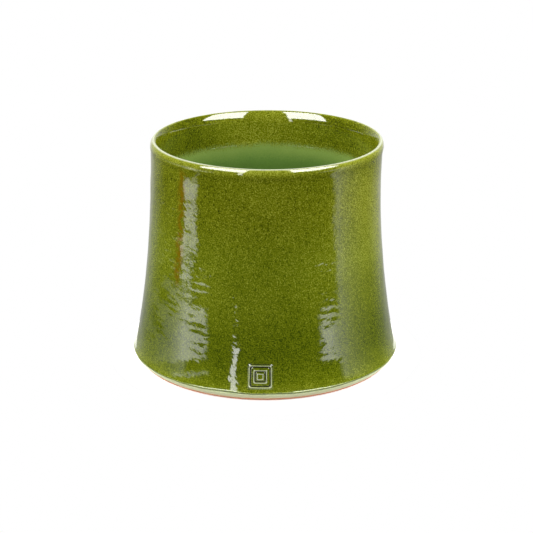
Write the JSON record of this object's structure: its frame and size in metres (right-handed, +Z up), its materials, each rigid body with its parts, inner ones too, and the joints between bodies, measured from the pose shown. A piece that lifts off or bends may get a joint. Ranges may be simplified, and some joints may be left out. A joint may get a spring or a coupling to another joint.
{
  "type": "glazed terracotta cover pot",
  "caption": "Round glazed terracotta cover pot with a thin rounded lip, a nearly straight wall that flares to a wide base, and a bare foot ring.",
  "frame": {"origin": "on the pot's axis, at the bottom of the foot ring", "axes": "+Z up along the pot's axis, -Y to the front where the seal tile is, +X to the right of someone facing the front"},
  "size_m": [0.2386, 0.2386, 0.2],
  "materials": {
    "terracotta": "matte",
    "slip": "satin",
    "olive_glaze": "gloss",
    "green_lining": "satin"
  },
  "bodies": {
    "root": {"clay_body": "terracotta", "slip_coat": "slip", "outer_glaze": "olive_glaze", "inner_glaze": "green_lining", "seal_tile": "olive_glaze"}
  },
  "joints": []
}
